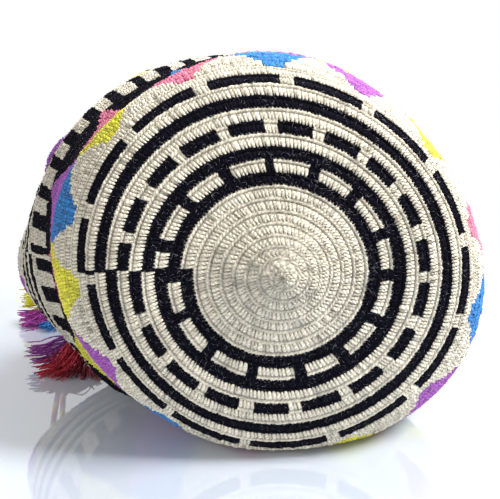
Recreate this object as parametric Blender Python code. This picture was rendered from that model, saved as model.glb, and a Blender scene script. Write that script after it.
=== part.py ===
"""Crocheted drawstring bag lying on its side, stuffed to shape.

The bag's own axis runs along +Y: the round base faces -Y and the mouth faces +Y.
It rests on z = 0. Angles around the axis start at the left (-X), where the spiral's rows
step, and grow downwards: 90 degrees is the underside and 270 degrees is the top.
A height on the bag is given in crochet rows, counted from the centre of the base.
"""

import math

import bmesh
import bpy
import numpy as np
from mathutils import Vector

# Body
ROW_HEIGHT = 0.0066
ROW_COUNT = 56
WALL = 0.0042
RIDGE = 0.0011
AXIS_HEIGHT = 0.115
SETTLE = 0.006

# Slope of the wall against the base plane, in degrees, at some rows
PROFILE_ROWS = (0, 3, 7, 10, 13, 15, 17, 19, 22, 26, 32, 38, 42, 46, 50, 53, 56)
PROFILE_SLOPES = (24, 36, 15, 9, 21, 29, 54, 62, 78, 83, 99, 94, 95, 105, 122, 104, 84)

# How the stuffed body leaves the round form, as shares of its radius
BASE_WIDER_BELOW = 0.09
BASE_FLATTER = -0.028
BASE_SKEW = -0.033
BODY_WIDER_LEFT = 0.03
BODY_WIDER_BELOW = 0.073
BODY_FLATTER = 0.096
BODY_SKEW = 0.01
BODY_CORNERS = 0.08
BODY_CORNERS_TURNED = 0.048

# Rows by which the base and the body have taken on those shapes, and where they fade to the mouth
NAVEL_ROW = 3
BASE_ROW = 18
BODY_ROWS = (15, 30)
FADE_START_ROW = 40

# Dents: depth as a share of the radius, row, rows to each side, angle, and degrees to each side.
# One with a depth below zero swells out.
DENTS = (
    (0.204, 28.6, 6.6, 13, 28),
    (0.09, 24, 8.5, 47, 32),
    (-0.13, 35, 4.4, 313, 34),
    (0.19, 45, 5.7, 0, 29),
    (-0.18, 46.3, 4.2, 15, 17),
    (-0.07, 32, 6.2, 51, 17),
)

# How far the base leans back at its left and lower edges and saddles, in metres
LEAN_LEFT = 0.0138
LEAN_BELOW = 0.0119
SADDLE = -0.0092
SADDLE_SKEW = -0.0053

# Mouth, which the stuffed body leans to the left and sinks towards
MOUTH_ROW = 53
MOUTH_SHIFT_LEFT = 0.032
SHIFT_ROWS = (31, 49)
SINK_START_ROW = 38
FOLDS_PER_SIDE = 3
SEGMENTS_PER_FOLD = 6
STRAP_SEGMENTS = 4
RIM_FLARE = 1.2
FOLD_START_ROW = 43

# Cords
CORD_DIAMETER = 0.0042
CORD_END_ANGLE = 6.0
CORD_BEVEL_STEPS = 2

# Strap
STRAP_WIDTH = 0.064
STRAP_THICKNESS = 0.0036
STRAP_OVERLAP = 0.014
STRAP_ARCH_LENGTH = 0.06
STRAP_LANES = (-1.0, -0.72, -0.36, 0.0, 0.36, 0.72, 1.0)
STRAP_ROUTE_STEP = 0.0015
STRAP_LONGEST_STEP = 0.016
STRAP_MOST_TURN = 16.0

# Tassels
HEAD_RADIUS = 0.0085
HEAD_LENGTH = 0.019
BINDING_RADIUS = 0.0072
BINDING_LENGTH = 0.005
SKIRT_LENGTH = 0.044
SKIRT_WIDTH = 0.034
SKIRT_HEIGHT = 0.018
THREAD_RIDGE = 0.1
TURNED_SIDES = 16

# Gap between pieces that touch
TOUCH_GAP = 0.0003

# Folds deep enough for the cord to pass through the wall between them
FOLD_DEPTH = WALL + 1.5 * CORD_DIAMETER
SEGMENTS = 2 * (FOLDS_PER_SIDE * SEGMENTS_PER_FOLD + STRAP_SEGMENTS)
FOLD_ANGLE = 360.0 * SEGMENTS_PER_FOLD / SEGMENTS
SIDE_ANGLE = FOLDS_PER_SIDE * FOLD_ANGLE / 2
TABLE_STEPS = 24

# Lines of the outer skin in each row: one in its groove and one on its ridge
ROW_LINES = 2

# Inner skin of the wall: the rows of its rings below the eyelets
INNER_ROWS = (2, 5, 8, 11, 14, 16.5, 19, 22.5, 27, 32, 37, 41, 44.5, 47.5, 50, 51.7)

CREAM = (0.80, 0.74, 0.60)
BLACK = (0.012, 0.010, 0.018)
YELLOW = (0.90, 0.82, 0.05)
PINK = (0.84, 0.18, 0.30)
BLUE = (0.03, 0.24, 0.65)
PURPLE = (0.45, 0.12, 0.55)
CRIMSON = (0.52, 0.02, 0.05)
MAROON = (0.22, 0.01, 0.04)

# Pattern of the base: its black rows, and the cream marks on other black rows, each given as
# the first one's middle, the angle from one to the next, their width, and how many there are
BASE_BLACK_ROWS = (8, 10, 14)
CREAM_MARKS = {9: (16.9, 24.5, 18.3, 15), 12: (22.6, 19.2, 5.2, 18), 16: (5.1, 26.1, 4.0, 14)}

# Two bands of diamonds, each given by its first, widest and last rows, with bars and lines between
DIAMOND_ROWS = (18, 25.5, 31)
SHOULDER_ROWS = (43, 47.5, 52)
FIRST_DIAMOND = 8.1
FIRST_SHOULDER_DIAMOND = 21.0
DIAMOND_EVERY = 26.1
DIAMOND_COUNT = 14
DIAMOND_CYCLE = (("yellow", "pink"), ("purple", "yellow"), ("blue", "purple"), ("pink", "blue"))
FIRST_LINE_ROW = 36
BARS_PER_DIAMOND = 3
BLACK_BAR_SHARE = 0.45

# The routes below are drawn for rows of this height, and grow with the rows
DRAWN_ROW_HEIGHT = 0.0066
SIZE = ROW_HEIGHT / DRAWN_ROW_HEIGHT

# Drawstring tails, in metres, from where they leave the lacing to their tassels
NEAR_TAIL = (
    (-0.1192, 0.2766, 0.1060),
    (-0.1222, 0.2758, 0.1112),
    (-0.1276, 0.2744, 0.1138),
    (-0.1335, 0.2728, 0.1125),
    (-0.1375, 0.2716, 0.1075),
    (-0.1390, 0.2710, 0.1000),
    (-0.1387, 0.2710, 0.0915),
    (-0.1375, 0.2715, 0.0830),
    (-0.1370, 0.2740, 0.0680),
    (-0.1350, 0.2775, 0.0520),
    (-0.1320, 0.2815, 0.0360),
    (-0.1285, 0.2860, 0.0205),
    (-0.1245, 0.2910, 0.0090),
    (-0.1185, 0.2965, 0.0036),
    (-0.1105, 0.3010, 0.0026),
    (-0.1010, 0.3015, 0.0026),
    (-0.0920, 0.2975, 0.0026),
    (-0.0865, 0.2900, 0.0036),
    (-0.0850, 0.2810, 0.0070),
)
FAR_TAIL = (
    (-0.1215, 0.2860, 0.1030),
    (-0.1255, 0.2875, 0.0940),
    (-0.1290, 0.2890, 0.0820),
    (-0.1305, 0.2915, 0.0680),
    (-0.1300, 0.2950, 0.0520),
    (-0.1285, 0.2990, 0.0350),
    (-0.1255, 0.3050, 0.0190),
    (-0.1205, 0.3130, 0.0080),
    (-0.1120, 0.3215, 0.0034),
    (-0.1015, 0.3280, 0.0026),
    (-0.0915, 0.3345, 0.0026),
    (-0.0845, 0.3430, 0.0026),
    (-0.0820, 0.3530, 0.0040),
    (-0.0865, 0.3620, 0.0080),
)

# Each tassel: the middle of its head, the way its threads point, and their colours
NEAR_TASSEL = (-0.0965, 0.2605, 0.0105)
NEAR_TASSEL_WAY = (-0.52, -0.855, 0.0)
FAR_TASSEL = (-0.1100, 0.3620, 0.0105)
FAR_TASSEL_WAY = (-0.97, -0.24, 0.0)

# Strap's middle line behind the bag, as depth and height, between its two sewn ends
STRAP_ROUTE = (
    (0.3200, 0.0018),
    (0.4000, 0.0018),
    (0.4900, 0.0018),
    (0.5000, 0.0030),
    (0.5065, 0.0100),
    (0.5000, 0.0170),
    (0.4900, 0.0182),
    (0.4300, 0.0182),
    (0.3860, 0.0182),
    (0.3770, 0.0196),
    (0.3710, 0.0268),
    (0.3770, 0.0340),
    (0.3860, 0.0354),
    (0.4300, 0.0354),
    (0.4620, 0.0362),
    (0.4740, 0.0410),
    (0.4780, 0.0510),
    (0.4700, 0.0610),
    (0.4520, 0.0680),
    (0.4250, 0.0770),
    (0.4030, 0.0940),
    (0.3900, 0.1170),
    (0.3800, 0.1450),
    (0.3640, 0.1740),
    (0.3380, 0.1970),
    (0.3120, 0.2075),
)

# The bag's axis frame stands this far behind the middle of its underside
REST_DEPTH = 0.16


def smooth(start, end, value):
    """0 before start, 1 after end, and an even rise between them."""
    t = min(max((value - start) / (end - start), 0.0), 1.0)
    return t * t * (3 - 2 * t)


def turned_profile():
    """Radius and depth of the round form at each fine step of a row."""
    rows = np.linspace(0, ROW_COUNT + 1, (ROW_COUNT + 1) * TABLE_STEPS + 1)
    slopes = np.radians(np.interp(rows, PROFILE_ROWS, PROFILE_SLOPES))
    middle = (slopes[1:] + slopes[:-1]) / 2
    step = ROW_HEIGHT / TABLE_STEPS
    radius = np.concatenate([[0], np.cumsum(np.cos(middle)) * step])
    depth = np.concatenate([[0], np.cumsum(np.sin(middle)) * step])
    return rows, radius, depth


ROWS, RADII, DEPTHS = turned_profile()


def round_radius(row):
    return float(np.interp(row, ROWS, RADII))


def round_depth(row):
    return float(np.interp(row, ROWS, DEPTHS))


def fold_wave(angle):
    """-1 where the mouth folds in, 1 where it folds out and under the strap's ends."""
    side = (angle + 90) % 180 - 90
    if abs(side) > SIDE_ANGLE:
        return 1.0
    return -math.cos(math.radians(360 * side / FOLD_ANGLE))


def fold_reach(row):
    """How far the mouth's folds stand out at a row."""
    rise = smooth(FOLD_START_ROW, MOUTH_ROW, row)
    flare = 1 + (RIM_FLARE - 1) * smooth(MOUTH_ROW, ROW_COUNT, row)
    return FOLD_DEPTH * rise * flare


def settled(height):
    """A height above the floor once the soft body has sunk onto it."""
    if height <= -SETTLE:
        return 0.0
    if height >= SETTLE:
        return height
    return (height + SETTLE) ** 2 / (4 * SETTLE)


def unsettled(height):
    """The height that settles to the given one."""
    return height if height >= SETTLE else 2 * math.sqrt(SETTLE * height) - SETTLE


RIM_RADIUS = round_radius(ROW_COUNT) + FOLD_DEPTH * RIM_FLARE + RIDGE / 2
RIM_CLEARANCE = unsettled(STRAP_THICKNESS + TOUCH_GAP)
MOUTH_HEIGHT = RIM_RADIUS + RIM_CLEARANCE


def dent(row, angle, depth, at_row, rows, at_angle, degrees):
    """A soft dent's depth at a place, as a share of the radius."""
    turned = (angle - at_angle + 180) % 360 - 180
    return depth * math.exp(-(((row - at_row) / rows) ** 2) - (turned / degrees) ** 2)


def body_point(row, angle):
    """A point of the stuffed form, before it settles on the floor."""
    turn = math.radians(angle)
    left, below = math.cos(turn), math.sin(turn)
    left2, below2 = math.cos(2 * turn), math.sin(2 * turn)
    base = min(row / BASE_ROW, 1.0)
    body = smooth(*BODY_ROWS, row)
    soft = 1 - smooth(FADE_START_ROW, MOUTH_ROW, row)
    share = min(row / NAVEL_ROW, 1.0) * BASE_WIDER_BELOW * below
    share += base**2 * (BASE_FLATTER * left2 + BASE_SKEW * below2)
    share += body * (BODY_WIDER_LEFT * left + BODY_WIDER_BELOW * below)
    share += body * (BODY_FLATTER * left2 + BODY_SKEW * below2)
    share += body * (BODY_CORNERS_TURNED * math.cos(3 * turn) + BODY_CORNERS * math.sin(3 * turn))
    share -= sum(dent(row, angle, *one) for one in DENTS)
    radius = round_radius(row) * (1 + soft * share) + fold_reach(row) * fold_wave(angle)
    lean = base * (LEAN_LEFT * left + LEAN_BELOW * below)
    lean += base**2 * (SADDLE * left2 + SADDLE_SKEW * below2)
    drop = (MOUTH_HEIGHT - AXIS_HEIGHT) * smooth(SINK_START_ROW, MOUTH_ROW, row)
    shift = -MOUTH_SHIFT_LEFT * smooth(*SHIFT_ROWS, row)
    return Vector(
        (
            shift - radius * left,
            round_depth(row) + soft * lean,
            AXIS_HEIGHT + drop - radius * below,
        )
    )


def body_normal(row, angle):
    """The outward direction of the stuffed form."""
    along = body_point(row + 0.2, angle) - body_point(max(row - 0.2, 0.0), angle)
    ring = max(row, 0.5)
    around = body_point(ring, angle + 1.5) - body_point(ring, angle - 1.5)
    return along.cross(around).normalized()


def skin_point(row, angle, lift):
    """A point of the outer skin, lifted off it by a ridge."""
    point = body_point(row, angle) + body_normal(row, angle) * lift
    point.z = settled(point.z)
    return point


def lining_point(row, angle):
    """A point of the wall's inner face."""
    point = body_point(row, angle) - body_normal(row, angle) * WALL
    point.z = WALL + settled(point.z - WALL)
    return point


def material(name, colour, roughness=0.9):
    made = bpy.data.materials.new(name)
    made.use_nodes = True
    shader = made.node_tree.nodes["Principled BSDF"]
    shader.inputs["Base Color"].default_value = (*colour, 1)
    shader.inputs["Roughness"].default_value = roughness
    shader.inputs["Metallic"].default_value = 0.0
    return made


def mesh_object(name, mesh, *materials):
    made = bpy.data.objects.new(name, mesh)
    bpy.context.scene.collection.objects.link(made)
    for one in materials:
        mesh.materials.append(one)
    return made


def nearest_mark(angle, first, every, count):
    """Degrees from an angle to the nearest of some evenly spaced marks, and that mark's number."""
    number = min(max(round((angle - first) / every), 0), count - 1)
    off = abs(angle - first - number * every)
    wrapped = abs(angle - first - 360)
    return (wrapped, 0) if wrapped < off else (off, number)


def pattern(row, angle):
    """The yarn's colour at a row and an angle."""
    if row in CREAM_MARKS:
        first, every, wide, count = CREAM_MARKS[row]
        return "cream" if nearest_mark(angle, first, every, count)[0] < wide / 2 else "black"
    if row < DIAMOND_ROWS[0]:
        return "black" if row in BASE_BLACK_ROWS else "cream"
    if row <= DIAMOND_ROWS[2]:
        return diamond(row, angle, FIRST_DIAMOND, *DIAMOND_ROWS)
    if row < FIRST_LINE_ROW:
        return "black" if (angle / DIAMOND_EVERY * BARS_PER_DIAMOND) % 1.0 < BLACK_BAR_SHARE else "cream"
    if row < SHOULDER_ROWS[0]:
        return "black" if row % 2 else "cream"
    if row <= SHOULDER_ROWS[2]:
        return diamond(row, angle, FIRST_SHOULDER_DIAMOND, *SHOULDER_ROWS)
    return "black" if row % 2 else "cream"


def diamond(row, angle, first, first_row, widest_row, last_row):
    """A band of diamonds in two colours, with cream below them and a black zigzag above."""
    off, number = nearest_mark(angle, first, DIAMOND_EVERY, DIAMOND_COUNT)
    across = 2 * off / DIAMOND_EVERY
    near_colour, far_colour = DIAMOND_CYCLE[number % 4 if number < DIAMOND_COUNT - 1 else 2]
    if row < widest_row:
        reach = (row - first_row + 1) / (widest_row - first_row + 1)
        return near_colour if across < reach else "cream"
    reach = (last_row + 1 - row) / (last_row + 1 - widest_row)
    return far_colour if across < reach else "black"


YARNS = {"cream": CREAM, "black": BLACK, "yellow": YELLOW, "pink": PINK, "blue": BLUE, "purple": PURPLE}


def make_bag_body():
    """One wall of crochet: ridged spiral outside, plain skin inside, eyelets under the rim."""
    mesh = bpy.data.meshes.new("bag_body")
    work = bmesh.new()
    last = ROW_LINES * ROW_COUNT
    end_step = 0.2

    def row_of(line, i):
        row = line / ROW_LINES + i / SEGMENTS
        top = ROW_COUNT + end_step * i / SEGMENTS
        if line == last:
            return top
        if line == last - 1:
            return (row - 0.5 + top) / 2
        return row

    def outer(line, i):
        row = row_of(line, i)
        lift = RIDGE / 2 if line % 2 else -RIDGE / 2
        return work.verts.new(skin_point(row, 360 * i / SEGMENTS, lift))

    skin = [[outer(line, i) for i in range(SEGMENTS)] for line in range(1, last + 1)]
    step_verts = [outer(last - 1, SEGMENTS), outer(last, SEGMENTS)]

    def at(line, i):
        if i < SEGMENTS:
            return skin[line - 1][i]
        if line + ROW_LINES <= last:
            return skin[line + ROW_LINES - 1][0]
        return step_verts[line - last + 1]

    hole_line = ROW_LINES * MOUTH_ROW
    holes = [
        i
        for i in range(SEGMENTS)
        if fold_wave(360 * i / SEGMENTS) * fold_wave(360 * (i + 1) / SEGMENTS) < 0
    ]
    colours = list(YARNS)
    for line in range(1, last):
        for i in range(SEGMENTS):
            if i in holes and hole_line <= line < hole_line + ROW_LINES:
                continue
            face = work.faces.new((at(line, i), at(line, i + 1), at(line + 1, i + 1), at(line + 1, i)))
            face.material_index = colours.index(pattern(line // ROW_LINES + 1, 360 * (i + 0.5) / SEGMENTS))
    # The base's first turn closes on one point beside its step
    start = work.verts.new(skin_point(0.2, 270, RIDGE / 2))
    loop = [at(1, i) for i in range(SEGMENTS + 1)] + [at(2, 0), at(1, 0)]
    for one, two in zip(loop, loop[1:]):
        work.faces.new((start, two, one))

    # The lining's rings turn into the spiral's slope by the eyelets, then level out at the rim
    ring_rows = [(row, smooth(30, 50, row)) for row in INNER_ROWS]
    ring_rows += [(MOUTH_ROW, 1.0), (MOUTH_ROW + 1, 1.0), (ROW_COUNT - 0.2, 0.0)]
    rings = [
        [
            work.verts.new(lining_point(row + slope * i / SEGMENTS, 360 * i / SEGMENTS))
            for i in range(SEGMENTS)
        ]
        for row, slope in ring_rows
    ]
    below_holes = len(INNER_ROWS)
    for k, (low, high) in enumerate(zip(rings, rings[1:])):
        for i in range(SEGMENTS):
            j = (i + 1) % SEGMENTS
            if k == below_holes and i in holes:
                continue
            work.faces.new((low[j], low[i], high[i], high[j]))
    bottom = work.verts.new(lining_point(0.0, 0.0))
    for i in range(SEGMENTS):
        work.faces.new((bottom, rings[0][i], rings[0][(i + 1) % SEGMENTS]))

    # The eyelets' edges and the rim join the two skins
    low, high = rings[below_holes], rings[below_holes + 1]
    for i in holes:
        j = i + 1
        work.faces.new((at(hole_line, i), at(hole_line, j), low[j], low[i]))
        work.faces.new((at(hole_line + ROW_LINES, j), at(hole_line + ROW_LINES, i), high[i], high[j]))
        for k in (i, j):
            side = [at(hole_line + step, k) for step in range(ROW_LINES + 1)] + [high[k], low[k]]
            work.faces.new(side)
    rim = rings[-1]
    for i in range(SEGMENTS):
        work.faces.new((at(last, i), at(last, i + 1), rim[(i + 1) % SEGMENTS], rim[i]))
    work.faces.new((at(last, SEGMENTS), step_verts[0], at(last, 0), rim[0]))
    bmesh.ops.triangulate(work, faces=work.faces)
    bmesh.ops.recalc_face_normals(work, faces=work.faces)
    work.to_mesh(mesh)
    work.free()
    made = mesh_object("bag_body", mesh, *(material("yarn_" + name, YARNS[name]) for name in colours))
    mesh.shade_smooth()
    mesh.set_sharp_from_angle(angle=math.radians(50))
    return made


def smooth_route(points, spacing):
    """Evenly spaced points on a smooth curve through the route's own points."""
    route = [Vector(p) for p in points]
    ends = [2 * route[0] - route[1], *route, 2 * route[-1] - route[-2]]
    fine = []
    for a, b, c, d in zip(ends, ends[1:], ends[2:], ends[3:]):
        for k in range(16):
            t = k / 16
            fine.append(
                0.5
                * (
                    2 * b
                    + (c - a) * t
                    + (2 * a - 5 * b + 4 * c - d) * t * t
                    + (3 * b - a - 3 * c + d) * t**3
                )
            )
    fine.append(route[-1])
    lengths = [0.0]
    for a, b in zip(fine, fine[1:]):
        lengths.append(lengths[-1] + (b - a).length)
    count = max(2, round(lengths[-1] / spacing))
    wanted = np.linspace(0, lengths[-1], count + 1)
    columns = [np.interp(wanted, lengths, [p[k] for p in fine]) for k in range(3)]
    return [Vector(p) for p in zip(*columns)]


def make_cord(name, points, finish):
    curve = bpy.data.curves.new(name, "CURVE")
    curve.dimensions = "3D"
    curve.bevel_depth = CORD_DIAMETER / 2
    curve.bevel_resolution = CORD_BEVEL_STEPS
    curve.use_fill_caps = True
    line = curve.splines.new("POLY")
    line.points.add(len(points) - 1)
    for spot, point in zip(line.points, points):
        spot.co = (*point, 1)
    curve.materials.append(finish)
    made = bpy.data.objects.new(name, curve)
    bpy.context.scene.collection.objects.link(made)
    return made


def lacing_points():
    """The drawstring's turn through the eyelets, from one side of the left fold to the other."""
    points = []
    for angle in np.linspace(CORD_END_ANGLE, 360 - CORD_END_ANGLE, 79):
        row = MOUTH_ROW + 0.5 + angle / 360
        centre = body_point(row, angle)
        turn = math.radians(angle)
        inward = Vector((math.cos(turn), 0, math.sin(turn)))
        points.append(centre + inward * (fold_reach(row) * fold_wave(angle) + WALL / 2))
    return points


def tail_points(lacing_end, lacing_next, route, tassel, way):
    """A tail from just past the lacing's end to just short of its tassel's head."""
    leaving = (lacing_end - lacing_next).normalized()
    arriving = Vector(way).normalized()
    start = lacing_end + leaving * TOUCH_GAP
    end = Vector(tassel) * SIZE - arriving * (HEAD_LENGTH / 2 + TOUCH_GAP)
    first = start + leaving * CORD_DIAMETER
    last = end - arriving * CORD_DIAMETER
    middle = smooth_route([first, *(Vector(p) * SIZE for p in route), last], 2.4 * CORD_DIAMETER)
    return [start, *middle, end]


def paced(points, longest, most_turn):
    """Few points along a line: close together where it bends, far apart where it is straight."""
    kept = [points[0]]
    travelled, turned = 0.0, 0.0
    for before, here, after in zip(points, points[1:], points[2:]):
        travelled += (here - before).length
        turned += (here - before).angle(after - here)
        if travelled >= longest or turned >= most_turn:
            kept.append(here)
            travelled, turned = 0.0, 0.0
    return [*kept, points[-1]]


def make_strap(finish, edge_finish):
    """A flat crocheted band, arched at its two sewn ends to fit round the rim."""
    centre_x = body_point(ROW_COUNT, 90).x
    lowest = Vector((0, round_depth(ROW_COUNT + 0.25) - STRAP_OVERLAP, STRAP_THICKNESS / 2))
    highest = Vector((0, lowest.y, MOUTH_HEIGHT + RIM_RADIUS + TOUCH_GAP + STRAP_THICKNESS / 2))
    middle = [Vector((0, y, z)) * SIZE for y, z in STRAP_ROUTE]
    last_flat = Vector((0, lowest.y + STRAP_OVERLAP, highest.z))
    first_flat = Vector((0, lowest.y + STRAP_OVERLAP, lowest.z))
    fine = smooth_route([lowest, first_flat, *middle, last_flat, highest], STRAP_ROUTE_STEP)
    fine = [Vector((0, p.y, max(p.z, STRAP_THICKNESS / 2))) for p in fine]
    line = paced(fine, STRAP_LONGEST_STEP, math.radians(STRAP_MOST_TURN))
    across = [lane * STRAP_WIDTH / 2 for lane in STRAP_LANES]
    far = [0.0]
    for a, b in zip(line, line[1:]):
        far.append(far[-1] + (b - a).length)
    mesh = bpy.data.meshes.new("strap")
    work = bmesh.new()
    rings = []
    for k, point in enumerate(line):
        tangent = (line[min(k + 1, len(line) - 1)] - line[max(k - 1, 0)]).normalized()
        normal = Vector((0, -tangent.z, tangent.y))
        low_end = 1 - smooth(STRAP_OVERLAP, STRAP_ARCH_LENGTH, far[k])
        high_end = 1 - smooth(STRAP_OVERLAP, STRAP_ARCH_LENGTH, far[-1] - far[k])
        upper, lower = [], []
        for x in across:
            bow = RIM_RADIUS - math.sqrt(RIM_RADIUS**2 - x**2)
            rise = settled(RIM_CLEARANCE + bow) - settled(RIM_CLEARANCE)
            spot = point + Vector((centre_x + x, 0, 0)) + normal * (rise * low_end + bow * high_end)
            upper.append(work.verts.new(spot + normal * STRAP_THICKNESS / 2))
            lower.append(work.verts.new(spot - normal * STRAP_THICKNESS / 2))
        rings.append(upper + lower[::-1])
    count = len(rings[0])
    last_lane = len(across) - 1
    edge_lanes = (0, last_lane - 1)
    for one, two in zip(rings, rings[1:]):
        for k in range(count):
            j = (k + 1) % count
            face = work.faces.new((one[k], one[j], two[j], two[k]))
            lane = min(k, count - 2 - k)
            face.material_index = 1 if lane in edge_lanes or k in (last_lane, count - 1) else 0
    work.faces.new(rings[0][::-1])
    work.faces.new(rings[-1])
    bmesh.ops.triangulate(work, faces=work.faces)
    bmesh.ops.recalc_face_normals(work, faces=work.faces)
    work.to_mesh(mesh)
    work.free()
    return mesh_object("strap", mesh, finish, edge_finish)


def lofted(name, rings, finish):
    """A closed body through rings of points, with a flat end at each."""
    mesh = bpy.data.meshes.new(name)
    work = bmesh.new()
    rows = [[work.verts.new(p) for p in ring] for ring in rings]
    count = len(rows[0])
    for one, two in zip(rows, rows[1:]):
        for k in range(count):
            j = (k + 1) % count
            work.faces.new((one[k], one[j], two[j], two[k]))
    for ring in (rows[0], rows[-1]):
        middle = work.verts.new(sum((v.co for v in ring), Vector()) / count)
        for k in range(count):
            work.faces.new((middle, ring[k], ring[(k + 1) % count]))
    bmesh.ops.triangulate(work, faces=work.faces)
    bmesh.ops.recalc_face_normals(work, faces=work.faces)
    work.to_mesh(mesh)
    work.free()
    made = mesh_object(name, mesh, finish)
    mesh.shade_smooth()
    mesh.set_sharp_from_angle(angle=math.radians(50))
    return made


def make_tassel(name, spot, way, bundles, wrap_finish, binding_finish):
    """A wrapped head, a binding, and a fringe of three bundles of threads side by side."""
    along = Vector(way).normalized()
    aside = Vector((along.y, -along.x, 0)).normalized()
    up = Vector((0, 0, 1))
    head = Vector(spot) * SIZE

    def ring(distance, wide, high, sideways=0.0, height=None, ridge=0.0, jag=0.0):
        centre = head + along * distance + aside * sideways
        if height is not None:
            centre.z = height
        points = []
        for k in range(TURNED_SIDES):
            turn = 2 * math.pi * (k + 0.5) / TURNED_SIDES
            grow = 1 + ridge * (-1) ** k
            stagger = along * jag * (-1) ** k
            spoke = aside * wide * math.cos(turn) + up * high * math.sin(turn)
            points.append(centre + spoke * grow + stagger)
        return points

    made = []
    half = HEAD_LENGTH / 2
    caps = [math.radians(a) for a in (15, 35, 55, 75, 95, 115, 135)]
    turned = [ring(-half * math.cos(a), HEAD_RADIUS * math.sin(a), HEAD_RADIUS * math.sin(a)) for a in caps]
    neck = HEAD_RADIUS * math.sin(caps[-1])
    turned.append(ring(half, neck, neck))
    made.append(lofted(name + "_head", turned, wrap_finish))

    start = half + TOUCH_GAP
    waist = BINDING_RADIUS * 0.86
    steps = ((0.0, waist), (0.25, BINDING_RADIUS), (0.75, BINDING_RADIUS), (1.0, waist))
    turned = [ring(start + BINDING_LENGTH * t, r, r) for t, r in steps]
    made.append(lofted(name + "_binding", turned, binding_finish))

    start += BINDING_LENGTH + TOUCH_GAP
    third = SKIRT_WIDTH / 6 / (1 + THREAD_RIDGE) - TOUCH_GAP
    for side, colour, finish in bundles:
        rings = []
        for t in (0.0, 0.12, 0.3, 0.5, 0.7, 0.85, 1.0):
            spread = 0.3 + 0.7 * math.sin(t * math.pi / 2)
            wide = third * spread
            high = SKIRT_HEIGHT / 2 * (0.55 + 0.45 * spread) * (1.0 if side == 0 else 0.82)
            low = high * (1 + THREAD_RIDGE)
            height = head.z + (low - head.z) * smooth(0, 0.6, t)
            apart = 2 * (wide * (1 + THREAD_RIDGE) + TOUCH_GAP)
            jag = 0.002 if t == 1.0 else 0.0
            rings.append(
                ring(start + SKIRT_LENGTH * t, wide, high, side * apart, max(height, low), THREAD_RIDGE, jag)
            )
        made.append(lofted(name + "_skirt_" + colour, rings, finish))
    return made


for old in list(bpy.data.objects):
    bpy.data.objects.remove(old)

stand = bpy.data.objects.new("stand", None)
bpy.context.scene.collection.objects.link(stand)
stand.location = (0, -REST_DEPTH * SIZE, 0)

cord_yarn = material("cord_yarn", PURPLE)
pieces = [make_bag_body()]
pieces.append(make_strap(material("strap_yarn", CREAM), material("strap_edge_yarn", BLACK)))
lacing = lacing_points()
pieces.append(make_cord("drawstring", lacing, cord_yarn))
near_tail = tail_points(lacing[0], lacing[1], NEAR_TAIL, NEAR_TASSEL, NEAR_TASSEL_WAY)
pieces.append(make_cord("drawstring_tail_near", near_tail, cord_yarn))
far_tail = tail_points(lacing[-1], lacing[-2], FAR_TAIL, FAR_TASSEL, FAR_TASSEL_WAY)
pieces.append(make_cord("drawstring_tail_far", far_tail, cord_yarn))
near_bundles = (
    (0, "crimson", material("thread_crimson", CRIMSON)),
    (1, "purple", material("thread_purple", PURPLE)),
    (-1, "maroon", material("thread_maroon", MAROON)),
)
far_bundles = (
    (0, "orchid", material("thread_orchid", PURPLE)),
    (1, "yellow", material("thread_yellow", YELLOW)),
    (-1, "blue", material("thread_blue", BLUE)),
)
wrap = material("head_yarn", CRIMSON)
binding = material("binding_yarn", YELLOW)
pieces += make_tassel("near_tassel", NEAR_TASSEL, NEAR_TASSEL_WAY, near_bundles, wrap, binding)
pieces += make_tassel("far_tassel", FAR_TASSEL, FAR_TASSEL_WAY, far_bundles, wrap, binding)
for piece in pieces:
    piece.parent = stand
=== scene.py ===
# Crocheted drawstring bag lying on its side, base towards the camera.
# Lengths are in metres. Heights on the bag are counted in crochet rows from the middle of the base,
# and places round it in degrees from the left, growing downwards: 90 is the underside, 270 the top.

import math

import bpy
import numpy as np
from mathutils import Matrix, Vector


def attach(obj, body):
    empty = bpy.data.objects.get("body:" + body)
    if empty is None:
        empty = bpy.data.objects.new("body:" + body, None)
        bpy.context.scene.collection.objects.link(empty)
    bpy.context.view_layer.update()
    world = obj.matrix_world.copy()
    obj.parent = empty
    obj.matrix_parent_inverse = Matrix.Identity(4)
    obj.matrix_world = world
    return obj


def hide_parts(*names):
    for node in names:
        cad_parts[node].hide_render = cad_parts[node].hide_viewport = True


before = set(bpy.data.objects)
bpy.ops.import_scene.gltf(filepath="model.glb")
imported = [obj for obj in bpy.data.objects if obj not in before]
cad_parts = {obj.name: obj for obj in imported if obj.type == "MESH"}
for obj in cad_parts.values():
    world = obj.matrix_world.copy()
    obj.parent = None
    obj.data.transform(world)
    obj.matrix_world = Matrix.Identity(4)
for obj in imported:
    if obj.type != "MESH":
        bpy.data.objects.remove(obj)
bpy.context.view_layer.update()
restDepth = 0.16  # the middle of the base lies this far in front of the origin
print("frame loaded:", len(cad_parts), "nodes")


# Camera, at the photo's viewing angle

photoView = {
    "width": 500,
    "focalPixels": 980.0,
    "place": (-0.0650, -0.4428, 0.2174),
    "yaw": -6.34,
    "down": 11.2,
    "sensor": 36.0,
    "clipStart": 0.02,
}


def placeCamera(v):
    yaw, down = math.radians(v["yaw"]), math.radians(v["down"])
    right = Vector((math.cos(yaw), math.sin(yaw), 0))
    level = Vector((-math.sin(yaw), math.cos(yaw), 0))
    ahead = level * math.cos(down) - Vector((0, 0, math.sin(down)))
    up = right.cross(ahead)
    camera = bpy.data.cameras.new("photoCamera")
    camera.sensor_width = v["sensor"]
    camera.lens = camera.sensor_width * v["focalPixels"] / v["width"]
    camera.clip_start = v["clipStart"]
    placed = bpy.data.objects.new("photoCamera", camera)
    turn = Matrix((right, up, -ahead)).transposed().to_4x4()
    placed.matrix_world = Matrix.Translation(Vector(v["place"]) - Vector((0, restDepth, 0))) @ turn
    bpy.context.scene.collection.objects.link(placed)
    bpy.context.scene.camera = placed


placeCamera(photoView)
print("camera placed")


# The bag's form, from the same named sizes as the part's source

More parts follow.
